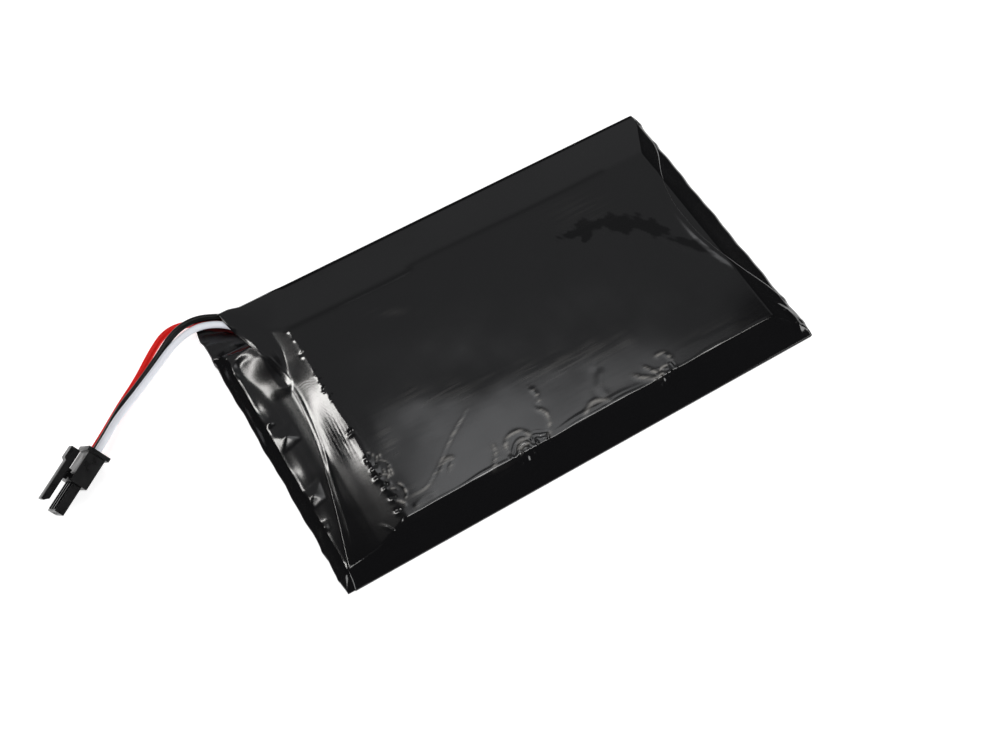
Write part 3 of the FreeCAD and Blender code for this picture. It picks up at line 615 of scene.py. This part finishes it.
def scuff_at(x, y):
    """How rubbed the film is, with thin painted highlight lines added along its folds, wisps, crease and
    pinches, from 0 to 1.
    """
    d, _, t = from_line(x, y, curved(RUBBED_BAND))
    patchy = (0.02 + 0.06 * np.abs(np.sin(5.2 * t + 0.4))) * np.minimum(1, 6 * t + 0.2)
    band = bell(d + 0.8 * np.sin(0.8 * x), 2.8) * patchy
    patches = sum(spot(x, y, *one) for one in RUBBED_PATCHES)
    return np.clip(band + painted_highlight_lines(x, y) + 0.7 * patches, 0, 1)


# Patches where the film clings, as (x, y), radius, how long and its turn
DULL_PATCHES = (
    ((31.2, 12.4), 1.7, 2.4, -0.5), ((26.4, 12.4), 1.3, 2.2, -0.2), ((38.2, 9.0), 2.7, 2.0, -0.55),
    ((43.6, 4.2), 2.0, 2.4, -0.85), ((48.6, -4.0), 1.3, 4.0, -0.95), ((29.2, 10.2), 1.0, 2.2, 0.4),
    ((34.5, 11.6), 1.2, 2.4, -0.4),
)
DULL_LINE = ((-42.0, 23.8), (-13.0, 23.4), (-8.5, 24.8), (22.4, 24.1), (42.4, 24.3))


def dull_at(x, y):
    """How much less the film shines where it clings to what is under it, from 0 to 1."""
    ragged = 0.5 * np.sin(0.9 * x + 0.8 * np.sin(0.7 * y)) + 0.35 * np.sin(1.7 * x - 0.9 * y)
    ragged += 0.3 * np.sin(4.1 * x + 2.9 * y)
    patch = np.zeros(x.shape)
    for centre, radius, stretch, turn in DULL_PATCHES:
        reach = spot(x, y, centre, radius, 1.0, stretch, turn) + 0.26 * ragged
        patch = np.maximum(patch, 0.8 * step_up(reach, 0.30, 0.52))
    from_dull_line, _, _ = from_line(x, y, curved(DULL_LINE))
    return np.clip(patch + 0.45 * bell(from_dull_line, 0.8), 0, 1)


# Pinches in the cell's near edge, how large each one's wrinkles are, and the size of its painted highlight
# arcs
PINCHES = ((-12.3, -30.6), (23.4, -30.2))
PINCH_SIZES = (1.0, 0.62)
PINCH_HIGHLIGHT_SIZES = (1.0, 0.7)
# Pits by a pinch, as x and y from it, radius and depth
PINCH_PITS = (
    (-1.6, -1.2, 0.42, 0.26), (0.2, -0.9, 0.50, 0.40), (1.9, -0.7, 0.40, 0.25),
    (4.6, -0.1, 0.42, 0.30), (0.9, -2.0, 0.70, 0.16), (3.2, -1.3, 0.50, 0.20),
)
# Folds that fan out of a pinch, as x from it and lean
PINCH_FAN = ((-2.6, -0.8), (-0.7, -0.3), (1.1, 0.1), (2.6, 0.5), (5.2, 0.6))
# Low folds that run up from the cell's near edge
RIM_FOLDS = (
    ((-15.8, -28.6), (-15.2, -26.0), (-12.4, -24.7), (-10.2, -26.0), (-9.6, -28.4)),
    ((-13.6, -29.2), (-12.9, -27.6), (-11.6, -27.2), (-10.8, -28.6)),
    ((-3.6, -17.0), (-3.2, -19.6), (-4.0, -21.8)),
    ((-5.4, -21.9), (-3.9, -24.4), (-4.8, -27.4), (-6.6, -29.6)),
    ((-20.6, -30.0), (-18.4, -27.2), (-17.6, -24.6)), ((2.8, -29.2), (6.5, -27.4), (10.4, -29.2)),
    ((20.6, -25.6), (21.9, -27.6), (23.2, -29.6)), ((17.4, -26.2), (19.6, -28.4), (22.6, -29.8)),
    ((24.2, -25.0), (26.6, -25.4), (27.4, -27.8)), ((-39.6, -28.8), (-36.6, -28.0), (-33.6, -28.4)),
    ((-31.2, -24.9), (-28.6, -23.0), (-26.9, -23.2), (-29.0, -25.4)),
)


def pinch_detail(x, y, px, py, size):
    """Wrinkles, pits and a fan of small folds round a pinch."""
    z = rings(x, y, (px, py), 1.2, 5.0 * size, 1.25, 0.050 * size, (-0.25, 1.0))
    z += rings(x, y, (px + 4.0 * size, py + 1.0), 0.8, 3.4 * size, 1.00, 0.045 * size, (0.1, 1.0))
    for dx, dy, radius, depth in PINCH_PITS:
        z -= spot(x, y, (px + dx * size, py + dy), radius, 0.55 * depth * size, 1.5, 1.2 + 0.3 * dx)
    for dx, lean in PINCH_FAN:
        foot = (px + dx * size, py - 0.5)
        middle = (foot[0] + lean * 0.6, foot[1] + 1.0)
        top = (foot[0] + lean * 1.5, foot[1] + 2.4 * size)
        z += ridge(x, y, (foot, middle, top), 0.26, 0.075 * size)
    return z


def near_rim_detail(x, y):
    z = sum(pinch_detail(x, y, *place, size) for place, size in zip(PINCHES, PINCH_SIZES))
    for fold in RIM_FOLDS:
        z += ridge(x, y, fold, 0.60, 0.030)
    # the rim itself: a thin welt of film along the cell's near edge
    from_edge = y - CELL_NEAR - 0.25 * np.sin(0.21 * x) - 0.15 * np.sin(0.53 * x + 1.0)
    z += 0.035 * bell(from_edge - 0.65, 0.34) * step_up(x, -41, -36) * (1 - step_up(x, 52, 56))
    z += 0.045 * bell(from_edge - 1.70, 0.42) * bell(x - 4.0, 8.5)
    return z


# Folds at the pack's corners and by the leads, as points, width and height
CORNER_FOLDS = (
    (((-47.2, -28.2), (-45.5, -31.3), (-45.7, -33.6), (-44.6, -36.9)), 0.30, 0.05),
    (((-42.6, -29.6), (-42.4, -31.0), (-43.4, -32.6)), 0.5, -0.10),
    (((-58.6, -33.0), (-57.6, -35.2), (-55.4, -36.6)), 0.7, 0.22),
    (((-59.2, -30.4), (-57.9, -32.4), (-57.6, -34.6)), 0.5, 0.14),
    (((57.6, -28.6), (58.2, -32.0), (57.8, -35.6)), 0.55, 0.35),
    (((56.6, -27.0), (58.4, -30.4), (59.4, -33.6)), 0.4, 0.20),
    (((-53.0, 35.6), (-50.6, 33.4), (-48.0, 31.2)), 0.55, 0.12),
    (((-48.7, 29.0), (-49.1, 24.4), (-48.0, 20.4)), 0.8, 0.06),
)


def corner_detail(x, y):
    return sum(ridge(x, y, *one) for one in CORNER_FOLDS)


def cut_detail(x, y):
    """A welt beside the sleeve's left cut, a sag at its middle, and the right cut's raised band."""
    from_left = x - read_table(LEFT_CUT_TABLE, y)
    gap = 1.05 + 1.1 * step_up(-y, 10.0, 30.0)
    welt = 0.035 * bell(from_left - gap, 0.34) * (1 - step_up(y, 24.0, 30.0)) * step_up(y, -33.0, -28.0)
    sag = 0.14 * bell(from_left, 1.7) * step_up(y, -12.0, -4.0) * (1 - step_up(y, 10.0, 17.0))
    from_right = read_table(RIGHT_CUT_TABLE, y) - x
    return welt - sag + 0.17 * bell(from_right - 0.8, 1.0) * bell(y - 0.5, 16.0)


# Lumps of parts under the film by the left end, as (x, y), reach, height, lean
LUMPS = (
    ((-54.8, 0.6), 2.9, 0.50, 0.0), ((-56.2, -14.8), 2.6, 0.50, -0.17), ((-56.4, 5.6), 1.2, 0.20, 0.0),
    ((-57.6, 26.6), 1.4, 0.28, 0.2), ((-57.6, -22.3), 1.4, 0.22, -0.18),
)
# Where it hangs between them, as x, y, how far along y, depth
HANGS = ((-57.4, 9.4, 3.2, 0.14), (-57.4, -6.8, 4.0, 0.16), (-57.8, -20.0, 3.0, 0.16))
HANG_WIDTH = 1.6
# The film's arched fold by the far left corner
ARCHED_FOLD = ((-58.0, 18.8), (-57.4, 22.4), (-54.8, 24.0), (-52.2, 22.8), (-50.9, 19.6))


def tent(x, y, centre, reach, height, lean):
    """Film held up by a corner under it, with four sides. lean turns the left one toward the near side."""
    dx, dy = x - centre[0], y - centre[1]
    side_x, side_y = 1 - np.abs(dx + lean * dy) / reach, 1 - np.abs(dy - 0.25 * dx) / (0.95 * reach)
    return height * np.maximum(0, lower_of(side_x, side_y, 0.16)) ** 1.5


def lump_detail(x, y):
    z = ridge(x, y, ARCHED_FOLD, 1.1, 0.24)
    for lump in LUMPS:
        z += tent(x, y, *lump)
    for hang_x, hang_y, reach, depth in HANGS:
        z -= depth * bell(x - hang_x, HANG_WIDTH) * bell(y - hang_y, reach)
    return z + rolling(x, y, 23, 7.0, 0.010) * (1 - step_up(x, -53.0, -48.0))


# How high the end film lies: along the pack over the board, and across it past the board's far end
OVER_BOARD = ((-60.0, 2.9), (-57.6, 2.95), (-51.8, 3.08), (-48.6, 3.36), (-46.0, 9.0))
PAST_BOARD = ((24.0, 9.0), (25.0, 3.2), (26.5, 2.3), (29.0, 1.55), (32.0, 1.05), (34.5, 0.88), (38.0, 0.86))
# How far the end films' tops lie below the sleeve's, but for the sleeve's own shape at its cuts
UNDER_SLEEVE = 0.16
LOWEST_TOP = PLATE_TOP + 0.05


def bare_height(x, y):
    """The height of the outermost film anywhere on the pack's top, but for the leads."""
    z = lower_of(read_table(ALONG_TABLE, x), read_table(ACROSS_TABLE, y), PROFILE_SOFTNESS)
    z = z + ramp_shape(x, y) + crimp_detail(x, y) + ramp_wrinkles(x, y) + cell_detail(x, y)
    return z + near_rim_detail(x, y) + corner_detail(x, y) + lump_detail(x, y)


def covered_height(x, y):
    return -lower_of(-bare_height(x, y), -lead_cover(x, y), 0.6)


def sleeve_height(x, y):
    return covered_height(x, y) + cut_detail(x, y)


def left_inner_height(x, y):
    lumps = lump_detail(x, y)
    under_sleeve = covered_height(x, y) - UNDER_SLEEVE
    z = np.minimum(bare_height(x, y) - UNDER_SLEEVE, under_sleeve)
    z = lower_of(z, read_points(OVER_BOARD, x) + lumps, 0.15)
    z = -lower_of(-z, UNDER_SLEEVE - lead_cover(x, y), 0.7)
    z = np.minimum(z, under_sleeve)
    z = np.minimum(z, read_points(PAST_BOARD, y) + 0.25 * lumps)
    return np.maximum(z, LOWEST_TOP)


def right_inner_height(x, y):
    return np.maximum(covered_height(x, y) - UNDER_SLEEVE, LOWEST_TOP)


# ---------------------------------------------------------------- film meshes

# The sleeve's mesh: where it starts and ends before its ends follow the cuts, where its points are
# close together, and how far apart they are there and elsewhere
SLEEVE_START, SLEEVE_END = -58.0, 59.0
FINE_ALONG = ((-47.0, -37.5), (-16.0, -3.0), (19.0, 28.0))
FINE_ACROSS = ((-34.0, 10.0),)
ALONG_SPACING = (0.18, 0.42)
ACROSS_SPACING = (0.22, 0.34)
# Its columns lean toward the cuts only past these places
CUT_REACH_LEFT, CUT_REACH_RIGHT = -44.0, 50.0
# Points up a film's side, as how far in from it and how far up
SIDE_STEPS = ((0.25, 0.0), (0.06, 0.06), (0.0, 0.28))
UNDERSIDE_POINTS = 40
UNDERSIDE_INSET = 1.2
# Where the end films' hidden edges are, as x
LEFT_FILM_INNER, RIGHT_FILM_INNER = -38.0, 45.0
# The end films: how far inside the sleeve, the distance between points, and the rows that close
# the folded end, as step outward and how much of the height is left, about the height FOLD_HEIGHT
END_FILM_INSET = 0.13
END_ROW_SPACING = 0.3
END_ACROSS_SPACING = 0.4
END_SHORT = 0.12
END_ROWS = ((0.08, 0.85), (0.12, 0.4), (0.13, 0.0))
FOLD_HEIGHT = 0.5
SWELL_REACH = 3.0
MERGE_DISTANCE = 2e-6    # metres
# The part of the left end film's top left open for the leads, as x and y from and to
LEAD_OPENING = (-51.0, -44.0, 23.4, 26.4)
# Above this height a point belongs to the top, and can be rubbed, carry painted highlight lines, or be dull
TOP_STARTS = 0.6


def places(start, end, fine_spans, fine, coarse):
    """Places from start to end, closer together inside the fine spans."""
    out, at = [start], start
    while at < end - 1e-9:
        inside = any(a - 1e-9 <= at < b for a, b in fine_spans)
        at = min(end, at + (fine if inside else coarse))
        out.append(at)
    return np.array(out)


def loop_round(across, half, low):
    """The points round a film tube, from low on its near side: y, whether on top, and z if not."""
    top = across[(across > -half) & (across < half)]
    side_y = [inward - half for inward, _ in SIDE_STEPS]
    side_z = [low + up for _, up in SIDE_STEPS]
    under = np.linspace(half - UNDERSIDE_INSET, UNDERSIDE_INSET - half, UNDERSIDE_POINTS)
    ys = [*side_y, -half, *top, half, *[-v for v in side_y[::-1]], *under]
    on_top = [False] * len(side_y) + [True] * (len(top) + 2) + [False] * (len(side_y) + len(under))
    zs = [*side_z, *[0.0] * (len(top) + 2), *side_z[::-1], *[low] * len(under)]
    return np.array(ys), np.array(on_top), np.array(zs)


def make_mesh(name, points, faces, paint):
    mesh = bpy.data.meshes.new(name)
    mesh.from_pydata((points * MM).tolist(), [], faces)
    work = bmesh.new()
    work.from_mesh(mesh)
    bmesh.ops.remove_doubles(work, verts=work.verts, dist=MERGE_DISTANCE)
    bmesh.ops.recalc_face_normals(work, faces=work.faces)
    work.to_mesh(mesh)
    work.free()
    mesh.shade_smooth()
    mesh.materials.append(paint)
    obj = bpy.data.objects.new(name, mesh)
    bpy.context.scene.collection.objects.link(obj)
    return obj


def hold_values(obj, **functions):
    """Keeps a value at each point of a film, for its paint."""
    mesh = obj.data
    co = np.empty(len(mesh.vertices) * 3)
    mesh.vertices.foreach_get("co", co)
    x, y, z = (co.reshape(-1, 3) / MM).T
    for name, function in functions.items():
        values = mesh.attributes.new(name, "FLOAT", "POINT")
        values.data.foreach_set("value", (function(x, y) * (z > TOP_STARTS)).astype(np.float32))


def tube_faces(columns, count, is_open=None):
    """The faces of a tube of that many columns, each of count points, but for those left open."""
    faces = []
    for i in range(columns - 1):
        for j in range(count):
            k = (j + 1) % count
            if is_open is None or not is_open(i, j):
                faces.append((i * count + j, i * count + k, (i + 1) * count + k, (i + 1) * count + j))
    return faces


def follow_cuts(at, y):
    """x for each point of the sleeve, its end columns leaning to follow the cuts."""
    left, right = read_table(LEFT_CUT_TABLE, y), read_table(RIGHT_CUT_TABLE, y)
    from_start = np.clip((at - SLEEVE_START) / (CUT_REACH_LEFT - SLEEVE_START), 0, 1)
    from_end = np.clip((SLEEVE_END - at) / (SLEEVE_END - CUT_REACH_RIGHT), 0, 1)
    x = np.where(at < CUT_REACH_LEFT, left + from_start * (CUT_REACH_LEFT - left), at)
    return np.where(at > CUT_REACH_RIGHT, right + from_end * (CUT_REACH_RIGHT - right), x)


def make_sleeve(paint):
    along = places(SLEEVE_START, SLEEVE_END, FINE_ALONG, *ALONG_SPACING)
    across = places(-HALF_WIDTH, HALF_WIDTH, FINE_ACROSS, *ACROSS_SPACING)
    ys, on_top, zs = loop_round(across, HALF_WIDTH, 0.0)
    at, y = np.meshgrid(along, ys, indexing="ij")
    x = follow_cuts(at, y)
    z = np.where(on_top, sleeve_height(x, y), zs)
    points = np.stack([x, y, z], 2).reshape(-1, 3)
    sleeve = make_mesh("sleeve_film", points, tube_faces(len(along), len(ys)), paint)
    hold_values(sleeve, scuff=scuff_at, dull=dull_at)
    wall = sleeve.modifiers.new("wall", "SOLIDIFY")
    wall.thickness = FILM * MM
    wall.offset = -1
    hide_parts("outer_sleeve")
    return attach(sleeve, "pack")


def swell(y):
    """How far the folded film stands out at the pack's ends."""
    from_middle = np.abs(y)
    wave = 0.16 + 0.10 * np.sin(0.37 * y + 1.0) + 0.07 * np.sin(0.95 * y)
    puffs = 0.30 * bell(from_middle - 26.2, 1.1) + 0.22 * bell(from_middle - 33.4, 0.8)
    return wave * (1 - step_up(from_middle, 34.5, 37.0)) + puffs


def closing_rows(edge, toward):
    """The rows past a film's last one that bring its top and underside together."""
    for step, left in END_ROWS:
        row = edge.copy()
        row[:, 0] += toward * step
        row[:, 2] = FOLD_HEIGHT + (edge[:, 2] - FOLD_HEIGHT) * left
        yield row


def make_end_film(name, node, inner_x, end_x, height, paint, opening=None):
    """A film folded over one end of the pack like a sock."""
    toward = 1 if end_x > inner_x else -1
    along = np.linspace(inner_x, end_x - toward * END_SHORT, int(abs(end_x - inner_x) / END_ROW_SPACING))
    across = places(-HALF_WIDTH, HALF_WIDTH, (), END_ACROSS_SPACING, END_ACROSS_SPACING)
    ys, on_top, zs = loop_round(across, HALF_WIDTH - END_FILM_INSET, END_FILM_INSET)
    x, y = np.meshgrid(along, ys, indexing="ij")
    z = np.where(on_top, height(x, y), zs)
    x = x + toward * swell(y) * step_up(toward * x, toward * end_x - SWELL_REACH, toward * end_x)
    rows = list(np.stack([x, y, z], 2))
    rows += closing_rows(rows[-1], toward)
    points = np.concatenate(rows)

    def is_open(i, j):
        px, py = points[i * len(ys) + j][:2]
        return (opening is not None and on_top[j]
                and opening[0] < px < opening[1] and opening[2] < py < opening[3])

    film = make_mesh(name, points, tube_faces(len(rows), len(ys), is_open), paint)
    hold_values(film, scuff=scuff_at, dull=dull_at)
    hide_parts(node)
    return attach(film, "pack")


# ---------------------------------------------------------------- leads and plug

def make_lead(name, paint):
    curve = bpy.data.curves.new(f"lead_{name}", "CURVE")
    curve.dimensions = "3D"
    curve.bevel_depth = LEAD_DIAMETER / 2 * MM
    curve.bevel_resolution = 8
    curve.resolution_u = 16
    curve.use_fill_caps = True
    line = curve.splines.new("NURBS")
    route = LEADS[name]
    line.points.add(len(route) - 1)
    for point, place in zip(line.points, route):
        point.co = (*(c * MM for c in place), 1)
    line.order_u = 3
    line.use_endpoint_u = True
    curve.materials.append(paint)
    lead = bpy.data.objects.new(f"{name}_lead", curve)
    bpy.context.scene.collection.objects.link(lead)
    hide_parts(f"lead_{name}")
    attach(lead, "pack")
    return lead


PLUG_EDGE_RADIUS = 0.12
SHARP_ANGLE = 35         # degrees; edges sharper than this are rounded
FLAT_ANGLE = 1.0         # degrees; faces that meet flatter than this are joined


def softened_copy(node, name, paint, body):
    """A moulded part with its edges rounded, made from the CAD node's shape."""
    mesh = NODES[node].data.copy()
    mesh.name = name
    work = bmesh.new()
    work.from_mesh(mesh)
    bmesh.ops.remove_doubles(work, verts=work.verts, dist=1e-6)
    bmesh.ops.dissolve_limit(work, angle_limit=math.radians(FLAT_ANGLE), verts=work.verts, edges=work.edges)
    work.to_mesh(mesh)
    work.free()
    mesh.materials.clear()
    mesh.materials.append(paint)
    obj = bpy.data.objects.new(name, mesh)
    bpy.context.scene.collection.objects.link(obj)
    soften = obj.modifiers.new("edges", "BEVEL")
    soften.width = PLUG_EDGE_RADIUS * MM
    soften.segments = 2
    soften.limit_method = "ANGLE"
    soften.angle_limit = math.radians(SHARP_ANGLE)
    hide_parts(node)
    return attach(obj, body)


# ---------------------------------------------------------------- paints of what lies inside

# Each as colour, roughness and how metallic
LAMINATE = ((0.62, 0.63, 0.65), 0.35, 0.85)
POLYMER_FILM = ((0.88, 0.88, 0.86), 0.6, 0.0)
SEALANT = ((0.85, 0.85, 0.82), 0.5, 0.0)
CHIP = ((0.035, 0.035, 0.035), 0.5, 0.0)
NICKEL = ((0.68, 0.66, 0.62), 0.35, 1.0)
TINNED_WIRE = ((0.75, 0.74, 0.72), 0.3, 1.0)
TINNED_CONTACT = ((0.80, 0.78, 0.72), 0.3, 1.0)
INSIDE = {
    "base_plate": ((0.012, 0.012, 0.012), 0.55, 0.0),
    "cell_adhesive": ((0.75, 0.75, 0.70), 0.6, 0.0),
    "pouch_cup": LAMINATE,
    "pouch_lid": LAMINATE,
    "anode_sheets": ((0.06, 0.06, 0.065), 0.7, 0.2),
    "separator_sheets": POLYMER_FILM,
    "cathode_sheets": ((0.09, 0.09, 0.10), 0.7, 0.2),
    "stack_tapes": ((0.10, 0.45, 0.20), 0.35, 0.0),
    "circuit_board": ((0.03, 0.16, 0.07), 0.3, 0.0),
    "board_insulation_tape": ((0.65, 0.33, 0.05), 0.3, 0.0),
    "board_foam_pad": ((0.08, 0.08, 0.08), 0.9, 0.0),
    "terrace_insulator": ((0.36, 0.47, 0.33), 0.7, 0.0),
    "protection_ic": CHIP,
    "switch_transistors": CHIP,
    "resistors": ((0.05, 0.05, 0.05), 0.35, 0.0),
    "capacitors": ((0.45, 0.33, 0.20), 0.5, 0.0),
    "thermistor": ((0.20, 0.20, 0.22), 0.5, 0.0),
    "board_end_strands": TINNED_WIRE,
    "crimp_end_strands": TINNED_WIRE,
    "solder_joints": ((0.75, 0.76, 0.77), 0.2, 1.0),
    "positive_tab": ((0.80, 0.80, 0.82), 0.35, 1.0),
    "negative_tab": NICKEL,
    "positive_tab_sealant": SEALANT,
    "negative_tab_sealant": SEALANT,
    "positive_nickel_strip": NICKEL,
    "negative_nickel_strip": NICKEL,
    "contact_red": TINNED_CONTACT,
    "contact_black": TINNED_CONTACT,
    "contact_white": TINNED_CONTACT,
}


def paint_inside():
    for node, (colour, roughness, metallic) in INSIDE.items():
        paint = plain_paint(f"{node}_paint", colour, roughness, metallic)
        mesh = NODES[node].data
        mesh.materials.clear()
        mesh.materials.append(paint)


# ---------------------------------------------------------------- putting it together

make_camera()
make_floor()
make_room()
bpy.context.scene.view_settings.view_transform = "Standard"

plug_paint = plain_paint("plug_black", (0.0035, 0.0035, 0.0038), 0.30, grain=2600, depth=0.000012, shine=0.20)
shell = softened_copy("connector_housing", "plug_shell", plug_paint, "pack")
latch = softened_copy("latch_lever", "plug_latch", plug_paint, "latch")

lead_paints = {
    "white": plain_paint("insulation_white", (0.80, 0.82, 0.88), 0.42, contrast=0.03),
    "black": plain_paint("insulation_black", (0.004, 0.004, 0.004), 0.34, shine=0.22),
    "red": plain_paint("insulation_red", (0.86, 0.010, 0.006), 0.45, shine=0.2),
}
make_lead("white", lead_paints["white"])
make_lead("black", lead_paints["black"])
make_lead("red", lead_paints["red"])

make_sleeve(film_paint("sleeve_film_black", SLEEVE_ROUGHNESS))
inner_paint = film_paint("end_film_black", END_FILM_ROUGHNESS)
make_end_film("left_end_film", "left_end_tape", LEFT_FILM_INNER, -HALF_LENGTH, left_inner_height,
              inner_paint, LEAD_OPENING)
make_end_film("right_end_film", "right_end_tape", RIGHT_FILM_INNER, HALF_LENGTH, right_inner_height,
              inner_paint)
paint_inside()
